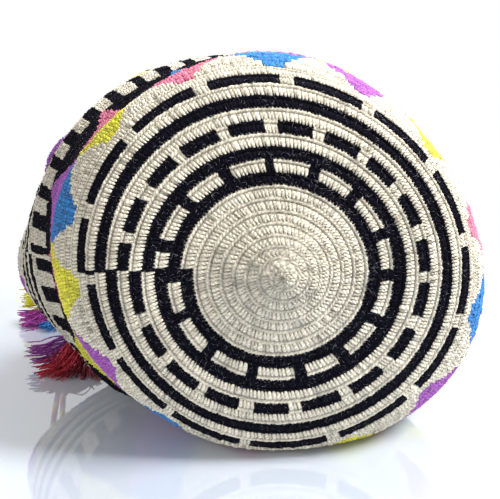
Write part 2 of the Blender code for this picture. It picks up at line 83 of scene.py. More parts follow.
bag = {
    "rowHeight": 0.0066,
    "rowCount": 56,
    "wall": 0.0042,
    "ridge": 0.0011,
    "axisHeight": 0.115,
    "settle": 0.006,
    "cordDiameter": 0.0042,
    "strapThickness": 0.0036,
    "touchGap": 0.0003,
    "foldStartRow": 43,
    "mouthRow": 53,
    "mouthShiftLeft": 0.032,
    "shiftRows": (31, 49),
    "sinkStartRow": 38,
    "rimFlare": 1.2,
    "segments": 44,
    "segmentsPerFold": 6,
    "foldsPerSide": 3,
}
profileRows = (0, 3, 7, 10, 13, 15, 17, 19, 22, 26, 32, 38, 42, 46, 50, 53, 56)
profileSlopes = (24, 36, 15, 9, 21, 29, 54, 62, 78, 83, 99, 94, 95, 105, 122, 104, 84)
# How far a row departs from a circle, as shares of its radius, and from a plane, in metres
bodyShape = {
    "baseWiderBelow": 0.09,
    "baseFlatter": -0.028,
    "baseSkew": -0.033,
    "widerLeft": 0.03,
    "widerBelow": 0.073,
    "flatter": 0.096,
    "skew": 0.01,
    "corners": 0.08,
    "cornersTurned": 0.048,
    "leanLeft": 0.0138,
    "leanBelow": 0.0119,
    "saddle": -0.0092,
    "saddleSkew": -0.0053,
    "navelRow": 3,
    "baseRow": 18,
    "bodyRows": (15, 30),
    "fadeStartRow": 40,
}
# Dents and swellings: depth as a share of the radius, row, rows each side, angle, degrees each side
dents = (
    (0.204, 28.6, 6.6, 13, 28),
    (0.09, 24, 8.5, 47, 32),
    (-0.13, 35, 4.4, 313, 34),
    (0.19, 45, 5.7, 0, 29),
    (-0.18, 46.3, 4.2, 15, 17),
    (-0.07, 32, 6.2, 51, 17),
)
foldDepth = bag["wall"] + 1.5 * bag["cordDiameter"]
foldAngle = 360 * bag["segmentsPerFold"] / bag["segments"]
sideAngle = bag["foldsPerSide"] * foldAngle / 2


def easeBetween(start, end, value):
    t = np.clip((value - start) / (end - start), 0, 1)
    return t * t * (3 - 2 * t)


def between(ends, share):
    return ends[0] + (ends[1] - ends[0]) * share


def circle(steps):
    return np.arange(steps) * 2 * np.pi / steps


def turnedProfile():
    fine = 24  # steps in a row
    rows = np.linspace(0, bag["rowCount"] + 1, (bag["rowCount"] + 1) * fine + 1)
    slopes = np.radians(np.interp(rows, profileRows, profileSlopes))
    middle = (slopes[1:] + slopes[:-1]) / 2
    step = bag["rowHeight"] / fine
    radius = np.concatenate([[0], np.cumsum(np.cos(middle)) * step])
    depth = np.concatenate([[0], np.cumsum(np.sin(middle)) * step])
    return rows, radius, depth


tableRows, tableRadii, tableDepths = turnedProfile()


def foldWave(angle):
    side = (angle + 90) % 180 - 90
    wave = -np.cos(np.radians(360 * side / foldAngle))
    return np.where(np.abs(side) > sideAngle, 1.0, wave)


def foldReach(row):
    flare = 1 + (bag["rimFlare"] - 1) * easeBetween(bag["mouthRow"], bag["rowCount"], row)
    return foldDepth * easeBetween(bag["foldStartRow"], bag["mouthRow"], row) * flare


def settled(height):
    soft = bag["settle"]
    eased = (np.clip(height, -soft, soft) + soft) ** 2 / (4 * soft)
    return np.where(height >= soft, height, eased)


rimRadius = float(np.interp(bag["rowCount"], tableRows, tableRadii)) + foldDepth * bag["rimFlare"]
rimRadius += bag["ridge"] / 2
strapRoom = bag["strapThickness"] + bag["touchGap"]
rimClearance = 2 * math.sqrt(bag["settle"] * strapRoom) - bag["settle"]
mouthHeight = rimRadius + rimClearance


def dent(row, angle, depth, atRow, rows, atAngle, degrees):
    turned = (angle - atAngle + 180) % 360 - 180
    return depth * np.exp(-(((row - atRow) / rows) ** 2) - (turned / degrees) ** 2)


def bodyPoint(row, angle):
    v = bodyShape
    row, angle = np.broadcast_arrays(np.asarray(row, float), np.asarray(angle, float))
    turn = np.radians(angle)
    left, below = np.cos(turn), np.sin(turn)
    left2, below2 = np.cos(2 * turn), np.sin(2 * turn)
    base = np.minimum(row / v["baseRow"], 1.0)
    body = easeBetween(*v["bodyRows"], row)
    soft = 1 - easeBetween(v["fadeStartRow"], bag["mouthRow"], row)
    share = np.minimum(row / v["navelRow"], 1.0) * v["baseWiderBelow"] * below
    share = share + base**2 * (v["baseFlatter"] * left2 + v["baseSkew"] * below2)
    share = share + body * (
        v["widerLeft"] * left + v["widerBelow"] * below + v["flatter"] * left2 + v["skew"] * below2
    )
    share = share + body * (v["cornersTurned"] * np.cos(3 * turn) + v["corners"] * np.sin(3 * turn))
    share = share - sum(dent(row, angle, *one) for one in dents)
    radius = np.interp(row, tableRows, tableRadii) * (1 + soft * share)
    radius = radius + foldReach(row) * foldWave(angle)
    lean = base * (v["leanLeft"] * left + v["leanBelow"] * below)
    lean = lean + base**2 * (v["saddle"] * left2 + v["saddleSkew"] * below2)
    sinking = easeBetween(bag["sinkStartRow"], bag["mouthRow"], row)
    drop = (mouthHeight - bag["axisHeight"]) * sinking
    shift = -bag["mouthShiftLeft"] * easeBetween(*bag["shiftRows"], row)
    x = shift - radius * left
    y = np.interp(row, tableRows, tableDepths) + soft * lean
    z = bag["axisHeight"] + drop - radius * below
    return np.stack([x, y, z], -1)


def bodyNormal(row, angle):
    along = bodyPoint(row + 0.2, angle) - bodyPoint(np.maximum(row - 0.2, 0), angle)
    ring = np.maximum(row, 0.5)
    around = bodyPoint(ring, angle + 1.5) - bodyPoint(ring, angle - 1.5)
    normal = np.cross(along, around)
    return normal / np.linalg.norm(normal, axis=-1, keepdims=True)


flatRelief = {"share": 0.25, "below": 0.002}  # relief left where the underside lies flat


def onBag(row, angle, lift):
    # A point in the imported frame, lifted off the form and settled on the floor
    point = bodyPoint(row, angle) + bodyNormal(row, angle) * np.asarray(lift)[..., None]
    low = settled(point[..., 2])
    left = flatRelief["share"] * np.minimum(lift, 0) * (low < flatRelief["below"])
    point[..., 2] = np.maximum(low + left, 0.0)
    point[..., 1] -= restDepth
    return point


# Yarns

def node(tree, kind, **settings):
    made = tree.nodes.new(kind)
    for name, value in settings.items():
        if name in made.inputs:
            made.inputs[name].default_value = value
        else:
            setattr(made, name, value)
    return made


yarnLook = {
    "roughness": 0.92,
    "specular": 0.06,
    "sheen": 0.15,
    "sheenRoughness": 0.6,
    "dye": {"scale": 38.0, "detail": 3.0, "from": (0.3, 0.7), "shade": (0.86, 1.08)},
    "specks": {"scale": 1100.0, "detail": 3.0, "from": (0.3, 0.65), "shade": (0.78, 1.14)},
    "speckRoughness": 0.75,
    # The plies' shade darkens the colour between plies and lightens their crests: painted shade and
    # highlight
    "plies": {"scale": 0.62, "distortion": 1.2, "detailScale": 2.0, "shade": (0.88, 1.12)},
    "grooveShade": 0.32,  # share of the colour left in the gaps between strands, as painted shade
    "fibreAndSheenColour": (0.9, 0.88, 0.85),
    "fibreShare": 0.06,
    "fibreFrom": (0.56, 0.74),
    "plyRelief": 0.9,
    "relief": 0.0006,
}


def mapped(tree, source, toRange, fromRange=(0.0, 1.0)):
    made = node(tree, "ShaderNodeMapRange")
    made.inputs["From Min"].default_value, made.inputs["From Max"].default_value = fromRange
    made.inputs["To Min"].default_value, made.inputs["To Max"].default_value = toRange
    tree.links.new(source, made.inputs["Value"])
    return made.outputs["Result"]


def product(tree, first, second):
    made = node(tree, "ShaderNodeMath", operation="MULTIPLY")
    tree.links.new(first, made.inputs[0])
    if isinstance(second, float):
        made.inputs[1].default_value = second
    else:
        tree.links.new(second, made.inputs[1])
    return made.outputs[0]


def yarnMaterial(name, colour, own):
    # Yarn: two plies wound round each other, uneven dye, pale fibres standing off it, partly
    # painted sheen, and painted shade in the gaps between strands and along the plies' twist.
    # The UV map counts strands across and rows along, so the plies follow every stitch.
    v = {**yarnLook, **own}
    made = bpy.data.materials.new(name)
    made.use_nodes = True
    tree = made.node_tree
    link = tree.links.new
    shader = tree.nodes["Principled BSDF"]
    shader.inputs["Roughness"].default_value = v["roughness"]
    shader.inputs["Specular IOR Level"].default_value = v["specular"]
    shader.inputs["Sheen Weight"].default_value = v["sheen"]
    shader.inputs["Sheen Roughness"].default_value = v["sheenRoughness"]
    shader.inputs["Sheen Tint"].default_value = (*v["fibreAndSheenColour"], 1)
    place = node(tree, "ShaderNodeTexCoord")
    wide = node(tree, "ShaderNodeTexNoise", Scale=v["dye"]["scale"], Detail=v["dye"]["detail"])
    link(place.outputs["Object"], wide.inputs["Vector"])
    specks = v["specks"]
    fine = node(tree, "ShaderNodeTexNoise", Scale=specks["scale"], Detail=specks["detail"])
    fine.inputs["Roughness"].default_value = v["speckRoughness"]
    link(place.outputs["Object"], fine.inputs["Vector"])
    plies = node(
        tree,
        "ShaderNodeTexWave",
        bands_direction="DIAGONAL",
        Scale=v["plies"]["scale"],
        Distortion=v["plies"]["distortion"],
    )
    plies.inputs["Detail Scale"].default_value = v["plies"]["detailScale"]
    link(place.outputs["UV"], plies.inputs["Vector"])
    # Painted shade: the colour darkens in the gaps between strands, by the groove attribute that
    # pieces carry
    gapShadeNode = node(tree, "ShaderNodeAttribute", attribute_name="groove")
    shade = mapped(tree, wide.outputs["Fac"], v["dye"]["shade"], v["dye"]["from"])
    shade = product(tree, shade, mapped(tree, fine.outputs["Fac"], specks["shade"], specks["from"]))
    # Painted shade and highlight along the twist of the plies
    shade = product(tree, shade, mapped(tree, plies.outputs["Fac"], v["plies"]["shade"]))
    shade = product(tree, shade, mapped(tree, gapShadeNode.outputs["Fac"], (1.0, v["grooveShade"])))
    dyed = node(tree, "ShaderNodeVectorMath", operation="SCALE")
    dyed.inputs[0].default_value = colour
    link(shade, dyed.inputs["Scale"])
    # Pale fibre specks mixed into the colour: partly fluff, partly painted sheen where fibres catch
    # light
    fibres = node(tree, "ShaderNodeValToRGB")
    for stop, position in zip(fibres.color_ramp.elements, v["fibreFrom"]):
        stop.position = position
    link(fine.outputs["Fac"], fibres.inputs["Fac"])
    mixed = node(tree, "ShaderNodeMix", data_type="RGBA")
    link(product(tree, fibres.outputs["Color"], v["fibreShare"]), mixed.inputs["Factor"])
    link(dyed.outputs["Vector"], mixed.inputs["A"])
    mixed.inputs["B"].default_value = (*v["fibreAndSheenColour"], 1)
    link(mixed.outputs["Result"], shader.inputs["Base Color"])
    relief = node(tree, "ShaderNodeMath", operation="MULTIPLY_ADD")
    relief.inputs[1].default_value = v["plyRelief"]
    link(plies.outputs["Fac"], relief.inputs[0])
    link(fine.outputs["Fac"], relief.inputs[2])
    bump = node(tree, "ShaderNodeBump", Strength=1.0, Distance=v["relief"])
    link(relief.outputs[0], bump.inputs["Height"])
    link(bump.outputs["Normal"], shader.inputs["Normal"])
    return made


yarnSorts = {  # material, colour, and what differs from the look above
    "cream": ("creamYarn", (0.94, 0.86, 0.69), {"fibreShare": 0.10}),
    "black": (
        "blackYarn",
        (0.004, 0.0035, 0.009),
        # pale fibres on black: partly fluff, partly painted sheen
        {"fibreAndSheenColour": (0.34, 0.33, 0.42), "fibreShare": 0.10, "sheen": 0.02},
    ),
    "yellow": ("yellowYarn", (1.0, 0.93, 0.07), {}),
    "pink": ("pinkYarn", (0.92, 0.24, 0.38), {}),
    "blue": ("blueYarn", (0.03, 0.27, 0.72), {}),
    "purple": ("orchidYarn", (0.50, 0.13, 0.60), {}),
    # pale fibres on the black rows: partly fluff, partly painted sheen
    "lintAndSheen": ("paleLintAndSheen", (0.62, 0.60, 0.66), {}),
    "orchid": ("orchidThread", (0.60, 0.09, 0.52), {}),
    "plum": ("plumThread", (0.42, 0.07, 0.47), {}),
    "crimson": ("crimsonThread", (0.92, 0.09, 0.14), {"fibreAndSheenColour": (0.9, 0.35, 0.35)}),
    "maroon": ("maroonThread", (0.48, 0.03, 0.08), {}),
}
yarns = {sort: yarnMaterial(*look) for sort, look in yarnSorts.items()}
yarnOrder = ("cream", "black", "yellow", "pink", "blue", "purple")  # what the bag is worked in
print("yarns made:", len(yarns))


# The pattern: which yarn is worked at a row and a place

basePattern = {
    "blackRows": (8, 10, 14),
    "creamMarks": {  # on black rows; first, every and wide are in degrees
        9: {"first": 16.9, "every": 24.5, "wide": 18.3, "count": 15},
        12: {"first": 22.6, "every": 19.2, "wide": 5.2, "count": 18},
        16: {"first": 5.1, "every": 26.1, "wide": 4.0, "count": 14},
    },
    "lastRow": 17,
}
diamondBand = {
    "first": 8.1,
    "every": 26.1,
    "count": 14,
    "cycle": ("yellow", "purple", "blue", "pink"),
    "lastPick": 2,
    "shift": 0,  # places along the cycle at which the band begins
    "upperStep": -1,  # a diamond's upper half takes the colour this far along the cycle
    "firstRow": 17.5,
    "widestRow": 22.5,
    "lastRow": 31,
}
shoulderBand = {
    "first": 21.0,
    "shift": 1,
    "upperStep": 1,
    "firstRow": 43,
    "widestRow": 47.5,
    "lastRow": 52,
}
bars = {"lastRow": 35, "perDiamond": 3, "blackShare": 0.45}
lastLineRow = 42
rimBlackRows = (53, 55)


def nearMark(angle, marks):
    # Distance in degrees to the nearest mark, and that mark's number
    number = np.clip(np.round((angle - marks["first"]) / marks["every"]), 0, marks["count"] - 1)
    off = np.abs(angle - marks["first"] - number * marks["every"])
    wrapped = np.abs(angle - marks["first"] - 360)
    number = np.where(wrapped < off, 0, number)
    return np.minimum(off, wrapped), number.astype(int)


def diamondYarn(row, angle, up, band, below, above):
    marks = {**{k: diamondBand[k] for k in ("every", "count")}, "first": band["first"]}
    off, number = nearMark(angle, marks)
    across = off / (diamondBand["every"] / 2)
    cycle = diamondBand["cycle"]
    if row < band["widestRow"]:
        reach = (row + up - band["firstRow"] + 1) / (band["widestRow"] - band["firstRow"] + 1)
        step, ground = 0, below
    else:
        reach = (band["lastRow"] + 1 - row - up) / (band["lastRow"] + 1 - band["widestRow"])
        step, ground = band["upperStep"], above
    # The last diamond meets the first one, so its colour is picked out of turn
    numbers = [*range(marks["count"] - 1), diamondBand["lastPick"]]
    picked = np.array(
        [yarnOrder.index(cycle[(n + band["shift"] + step) % len(cycle)]) for n in numbers]
    )
    return np.where(across < reach, picked[number], yarnOrder.index(ground))


def rowYarn(row, angle, up):
    # up is how far a face lies above its row's middle, which slants the diamonds' edges
    cream, black = yarnOrder.index("cream"), yarnOrder.index("black")
    plain = np.full(angle.shape, cream)
    if row in basePattern["blackRows"]:
        return plain * 0 + black
    if row in basePattern["creamMarks"]:
        marks = basePattern["creamMarks"][row]
        off, _ = nearMark(angle, marks)
        return np.where(off < marks["wide"] / 2, cream, black)
    if row <= basePattern["lastRow"]:
        return plain
    if row <= diamondBand["lastRow"]:
        return diamondYarn(row, angle, up, diamondBand, "cream", "black")
    if row <= bars["lastRow"]:
        share = (angle / diamondBand["every"] * bars["perDiamond"]) % 1.0
        return np.where(share < bars["blackShare"], black, cream)
    if row <= lastLineRow:
        return plain * 0 + (black if row % 2 else cream)
    if row <= shoulderBand["lastRow"]:
        return diamondYarn(row, angle, up, shoulderBand, "cream", "black")
    return plain * 0 + (black if row in rimBlackRows else cream)


# Crochet: each row is a strip of stitches laid over the edge of the row before

stitch = {
    "strandWidth": 0.0019,
    "lift": 0.0013,
    "pairGroove": 0.80,  # share of the lift cut between two stitches
    "splitGroove": 0.50,  # and between a stitch's two strands
    "tooth": 0.22,  # how far a strand's end reaches into the row before, in rows
    "lean": 0.6,  # strands a stitch slants over its height
    "uneven": 0.22,  # how much strands differ in height
    "slide": 0.06,  # in their ends, in rows
    "wander": 0.13,  # and in width, in strands
    "fadeRow": 6,  # the first rows are worked tighter and smoother, up to this one
    "edgeSlant": 0.6,
    "seed": 7,
    "seamDrift": 0.3,  # degrees that the colours' seam moves down in a row, after seamRow
    "seamRow": 8,
    "countedBelow": 0.3,  # rows under its edge at which a row's strands are counted
    "fewestPairs": 4,
    "crestPower": 0.6,  # under 1 makes a strand's crest broad
    "ribsFade": (0.62, 0.74),  # part of a row over which the strands run into the cord on its edge
    "toothEnd": 0.3,
    "toothMiddle": 0.45,
    "cordTwist": 0.07,
    "gapShadeHeights": (-0.25, 0.85),  # shares of the lift between which the painted shade in the gaps grows dark
    "slideFade": (0.3, 0.7),
    "leanMiddle": 0.4,
    "evenCore": 0.4,  # strands from a strand's edge over which its width wanders
    "calm": 0.4,  # share of the relief at the very centre
    "centreHole": 0.02,  # in rows
    "waveHeight": 0.00012,
    "wavesInRow": 9.35,
    "liningShare": 0.4,  # share of the relief on the inside
    "shadeJitter": 0.09,
    "uvRows": 3,
    "uvJump": 17,  # shifts the yarn's texture from row to row
}
acrossRow = (-0.14, -0.04, 0.05, 0.16, 0.45, 0.63, 0.70, 0.77, 0.87, 1.02, 1.17, 1.30)
acrossRowCoarse = (-0.13, -0.02, 0.12, 0.48, 0.70, 0.84, 1.04, 1.24)
acrossRowFar = (-0.12, 0.06, 0.46, 0.70, 0.86, 1.14)
acrossStrand = (0.0, 0.28, 0.72)
acrossStrandCoarse = (0.0, 0.5)
# A row's section: places in rows, and heights as shares of the lift
rowSection = (
    (-0.14, -1.4),
    (-0.07, -0.5),
    (0.0, 0.3),
    (0.10, 0.8),
    (0.28, 1.0),
    (0.48, 0.98),
    (0.62, 0.78),
    (0.70, 0.0),
    (0.76, 0.15),
    (0.85, 0.78),
    (0.94, 0.60),
    (1.05, 0.25),
    (1.18, -0.1),
    (1.30, -1.5),
)


def stitchRelief(v, strand):
    crest = np.abs(np.sin(np.pi * strand)) ** stitch["crestPower"]
    pairEdge = 0.5 + 0.5 * np.cos(np.pi * strand)
    groove = (1 - crest) * (
        stitch["splitGroove"] + (stitch["pairGroove"] - stitch["splitGroove"]) * pairEdge
    )
    tooth = stitch["tooth"] * (crest - stitch["toothMiddle"])
    shifted = np.where(v < stitch["toothEnd"], v + tooth, v)
    height = np.interp(shifted, *zip(*rowSection))
    inRibs = 1 - easeBetween(*stitch["ribsFade"], v)
    twist = stitch["cordTwist"] * np.sin(np.pi * strand) * (1 - inRibs)
    return stitch["lift"] * (height - groove * inRibs + twist)


def paintedGapShade(height):
    # Painted shade: 0 on a strand's crest, 1 in the deep gaps that light hardly reaches
    low, high = stitch["gapShadeHeights"]
    return 1 - easeBetween(low * stitch["lift"], high * stitch["lift"], height)


def ringLength(row):
    angles = np.arange(0, 360, 4.0)
    points = bodyPoint(np.full(angles.shape, float(row)), angles)
    return float(np.linalg.norm(np.diff(points, axis=0, append=points[:1]), axis=1).sum())


# Holes under the rim, as angles, where the mouth's wave changes side
edges = 360 / bag["segments"] * np.arange(bag["segments"] + 1)
eyelets = [(a, b) for a, b in zip(edges, edges[1:]) if foldWave(a) * foldWave(b) < 0]


def meshFromArrays(name, points, quads, materialIndex, uv):
    mesh = bpy.data.meshes.new(name)
    mesh.vertices.add(len(points))
    mesh.vertices.foreach_set("co", points.astype(np.float32).ravel())
    mesh.loops.add(quads.size)
    mesh.loops.foreach_set("vertex_index", quads.astype(np.int32).ravel())
    mesh.polygons.add(len(quads))
    mesh.polygons.foreach_set("loop_start", (np.arange(len(quads)) * 4).astype(np.int32))
    mesh.polygons.foreach_set("material_index", materialIndex.astype(np.int32))
    mesh.polygons.foreach_set("use_smooth", np.ones(len(quads), bool))
    layer = mesh.uv_layers.new(name="stitchUV")
    layer.data.foreach_set("uv", uv.astype(np.float32).ravel())
    mesh.update(calc_edges=True)
    mesh.validate()
    return mesh


def addObject(name, mesh, materials):
    made = bpy.data.objects.new(name, mesh)
    bpy.context.scene.collection.objects.link(made)
    for one in materials:
        mesh.materials.append(one)
    return made


def crochetRows(name, firstRow, lastRow, places, lines, inside=False):
    points, quads, colours, uvs, gapShadeAndTone = [], [], [], [], []
    count = 0
    lines = np.array(lines)
    for row in range(firstRow, lastRow + 1):
        rng = np.random.RandomState(stitch["seed"] + row)
        counted = ringLength(max(row, 1) - stitch["countedBelow"])
        pairs = round(counted / stitch["strandWidth"] / 2)
        strands = 2 * max(stitch["fewestPairs"], pairs)
        columns = strands * len(places)
        strand = (np.arange(strands)[:, None] + np.array(places)).ravel()
        strand = np.append(strand, strands)
        jitter = rng.normal(0, 1, (3, strands + 1))
        jitter[:, [0, -1]] = 0
        whole = np.minimum(np.floor(strand + 0.5).astype(int), strands)
        lift = 1 + stitch["uneven"] * jitter[0][whole]
        slide = stitch["slide"] * jitter[1][whole]
        nearest = np.round(strand).astype(int)
        wanders = np.abs(strand - nearest) < stitch["evenCore"]
        moved = stitch["wander"] * jitter[2][nearest] * wanders
        place = (strand + moved) / strands
        sliding = 1 - easeBetween(*stitch["slideFade"], lines)
        v = lines[:, None] + slide[None, :] * sliding[:, None]
        leaning = (lines - stitch["leanMiddle"])[:, None] * (lines < stitch["ribsFade"][1])[:, None]
        slant = stitch["lean"] * leaning
        height = stitchRelief(v, strand[None, :] + 0 * v) * lift[None, :]
        grown = easeBetween(1, stitch["fadeRow"], row + place)
        height = height * (stitch["calm"] + (1 - stitch["calm"]) * grown)[None, :]
        waves = np.sin((row + place[None, :]) * 2 * np.pi * stitch["wavesInRow"])
        height = height + stitch["waveHeight"] * waves
        angle = (place[None, :] + slant / strands) * 360
        rows = np.maximum(row - 1 + place[None, :] + v, stitch["centreHole"])
        if inside:
            height = -bag["wall"] - stitch["liningShare"] * height
        grid = onBag(rows, angle, height)
        points.append(grid.reshape(-1, 3))
        # Painted shade in the gaps between strands, plus a random tone for each strand
        shade = stitch["shadeJitter"] * np.abs(jitter[1][whole])
        gapShadeAndTone.append((paintedGapShade(height) + shade[None, :]).ravel())
        a = np.arange(len(lines) - 1)[:, None] * (columns + 1) + np.arange(columns)[None, :]
        cell = np.stack([a, a + 1, a + columns + 2, a + columns + 1], -1)
        if inside:
            cell = cell[..., ::-1]
        middle = (strand[1:] + strand[:-1]) / 2
        stitchMiddle = (np.floor(middle / 2) * 2 + 1) / strands * 360
        strandMiddle = (np.floor(middle)[None, :] + 0.5 + 0 * cell[:, :, 0]) / strands * 360
        up = stitch["edgeSlant"] * ((lines[1:] + lines[:-1]) / 2 - 0.5)[:, None] + 0 * strandMiddle
        seam = stitch["seamDrift"] * max(row - stitch["seamRow"], 0)
        rowBefore = rowYarn(row - 1, strandMiddle + 360, up)
        yarn = np.where(strandMiddle < seam, rowBefore, rowYarn(row, strandMiddle, up))
        keep = np.ones(columns, bool)
        if row == bag["mouthRow"] + 1:
            for start, end in eyelets:
                keep &= ~((stitchMiddle > start) & (stitchMiddle < end))
        across = np.stack([strand[:-1], strand[1:], strand[1:], strand[:-1]], -1)[None]
        along = np.stack([lines[:-1], lines[:-1], lines[1:], lines[1:]], -1)[:, None]
        across, along = across + row * stitch["uvJump"], along * stitch["uvRows"]
        corner = np.stack(np.broadcast_arrays(across, along), -1)
        if inside:
            corner = corner[:, :, ::-1]
        quads.append(cell[:, keep].reshape(-1, 4) + count)
        colours.append(yarn[:, keep].ravel())
        uvs.append(corner[:, keep].reshape(-1, 2))
        count += grid.shape[0] * grid.shape[1]
    mesh = meshFromArrays(name, *(np.concatenate(a) for a in (points, quads, colours, uvs)))
    # The groove attribute holds that painted shade for the yarn materials
    groove = mesh.attributes.new("groove", "FLOAT", "POINT")
    groove.data.foreach_set("value", np.concatenate(gapShadeAndTone).astype(np.float32))
    made = addObject(name, mesh, [yarns[y] for y in yarnOrder])
    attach(made, "root")
    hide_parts("bag_body")
    print(name, "faces:", len(mesh.polygons))
    return made


bagPieces = (
    {"name": "bag_base_middle", "rows": (0, 9), "places": acrossStrand, "lines": acrossRow},
    {"name": "bag_base_rings", "rows": (10, 17), "places": acrossStrand, "lines": acrossRow},
    {"name": "bag_side_near", "rows": (18, 26), "places": acrossStrand, "lines": acrossRowCoarse},
    {"name": "bag_side_far", "rows": (27, 38), "places": acrossStrandCoarse, "lines": acrossRowFar},
    {"name": "bag_shoulder", "rows": (39, 56), "places": acrossStrandCoarse, "lines": acrossRowFar},
)
for piece in bagPieces:
    crochetRows(piece["name"], *piece["rows"], piece["places"], piece["lines"])
crochetRows("bag_lining", 1, 56, (0.0,), (0.0, 0.5, 1.02), inside=True)


# Loose fibres that stand off the yarn: pale ones show on the black rows and along the outline.
# Their pale colour on the black rows is partly fluff and partly painted sheen.
fuzz = {
    "rows": (2, 54),
    "count": 17000,
    "length": (0.0007, 0.0026),
    "width": 0.00007,
    "root": 0.9,  # where fibres leave the yarn, as a share of the stitches' lift
    "rise": (0.0002, 0.0010),
    "arch": (0.15, 0.75),  # where a fibre starts on its arch, and how much of it follows
    "taper": (1.0, 1.0, 0.8, 0.3),
    "crowding": 1.2,  # over 1 sets more fibres near the base
    "curl": 0.9,
    "paleShare": 0.8,  # share of the fibres on black rows that are pale, partly fluff and partly painted sheen
    "seed": 23,
}


def bagFuzz(v):
    rng = np.random.RandomState(v["seed"])
    count = v["count"]
    first, last = v["rows"]
    row = first + (last - first) * rng.uniform(0, 1, count) ** v["crowding"]
    angle = rng.uniform(0, 360, count)
    along = (bodyPoint(row + 0.2, angle) - bodyPoint(row - 0.2, angle)) / 0.4
    around = bodyPoint(row, angle + 0.5) - bodyPoint(row, angle - 0.5)
    rowLength = np.linalg.norm(along, axis=1)
    degreeLength = np.linalg.norm(around, axis=1)
    bearing = rng.uniform(0, 2 * np.pi, count)
    curl = rng.normal(0, v["curl"], count)
    length = rng.uniform(*v["length"], count)
    rise = rng.uniform(*v["rise"], count)
    points = len(v["taper"])
    t = np.linspace(0, 1, points)[None, :]
    heading = bearing[:, None] + curl[:, None] * t
    acrossStep = np.cumsum(np.cos(heading), 1) - np.cos(heading)
    upStep = np.cumsum(np.sin(heading), 1) - np.sin(heading)
    rows = row[:, None] + upStep * (length / (points - 1) / rowLength)[:, None]
    angles = angle[:, None] + acrossStep * (length / (points - 1) / degreeLength)[:, None]
    start, reach = v["arch"]
    lift = v["root"] * stitch["lift"] + rise[:, None] * np.sin(np.pi * (start + reach * t))
    line = onBag(np.maximum(rows, 0.05), angles % 360, lift)
    side = np.cross(np.gradient(line, axis=1), bodyNormal(row, angle)[:, None])
    side /= np.maximum(np.linalg.norm(side, axis=2, keepdims=True), 1e-9)
    wide = v["width"] / 2 * np.array(v["taper"])[None, :, None]
    grid = np.stack([line - side * wide, line + side * wide], 2).reshape(-1, 3)
    a = np.arange(count)[:, None] * points * 2 + np.arange(points - 1)[None, :] * 2
    quads = np.stack([a, a + 1, a + 3, a + 2], -1).reshape(-1, 4)
    strip = np.clip(np.ceil(row - angle / 360).astype(int), 0, bag["rowCount"])
    yarn = np.zeros(count, int)
    for one in range(strip.min(), strip.max() + 1):
        here = strip == one
        yarn[here] = rowYarn(one, angle[here], 0.0)
    # Pale fibres on the black rows: partly fluff, partly painted sheen
    pale = (yarn == yarnOrder.index("black")) & (rng.uniform(0, 1, count) < v["paleShare"])
    yarn[pale] = len(yarnOrder)
    uv = np.tile(np.array(((0, 0), (1, 0), (1, 1), (0, 1)), float), (len(quads), 1))
    mesh = meshFromArrays("bag_fuzz", grid, quads, np.repeat(yarn, points - 1), uv)
    made = addObject("bag_fuzz", mesh, [yarns[y] for y in (*yarnOrder, "lintAndSheen")])
    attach(made, "root")
    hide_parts("bag_body")


bagFuzz(fuzz)
print("crochet worked")


# Cords and tassels: routes in metres, measured from the middle of the base

cord = {
    "diameter": 0.0042,
    "endAngle": 6.0,
    "plyDepth": 0.16,
    "plyPitch": 0.016,
    "sides": 18,
    "step": 0.0009,
    "swell": 0.03,
    "crestPower": 0.6,
    "stepsPerUV": 4,
    "loopPoints": 900,
    "partPoints": 79,  # as on the part's own lacing, for the tails' start
    "spacing": 2.4,  # between a tail's own points, in diameters
    "yarns": ("orchid", "crimson", "yellow"),
}
nearRoute = (
    (-0.1192, 0.2766, 0.106), (-0.1222, 0.2758, 0.1112), (-0.1276, 0.2744, 0.1138),
    (-0.1335, 0.2728, 0.1125), (-0.1375, 0.2716, 0.1075), (-0.139, 0.271, 0.1),
    (-0.1387, 0.271, 0.0915), (-0.1375, 0.2715, 0.083), (-0.137, 0.274, 0.068),
    (-0.135, 0.2775, 0.052), (-0.132, 0.2815, 0.036), (-0.1285, 0.286, 0.0205),
    (-0.1245, 0.291, 0.009), (-0.1185, 0.2965, 0.0036), (-0.1105, 0.301, 0.0026),
    (-0.101, 0.3015, 0.0026), (-0.092, 0.2975, 0.0026), (-0.0865, 0.29, 0.0036),
    (-0.085, 0.281, 0.007),
)
farRoute = (
    (-0.1215, 0.286, 0.103), (-0.1255, 0.2875, 0.094), (-0.129, 0.289, 0.082),
    (-0.1305, 0.2915, 0.068), (-0.13, 0.295, 0.052), (-0.1285, 0.299, 0.035),
    (-0.1255, 0.305, 0.019), (-0.1205, 0.313, 0.008), (-0.112, 0.3215, 0.0034),
    (-0.1015, 0.328, 0.0026), (-0.0915, 0.3345, 0.0026), (-0.0845, 0.343, 0.0026),
    (-0.082, 0.353, 0.004), (-0.0865, 0.362, 0.008),
)
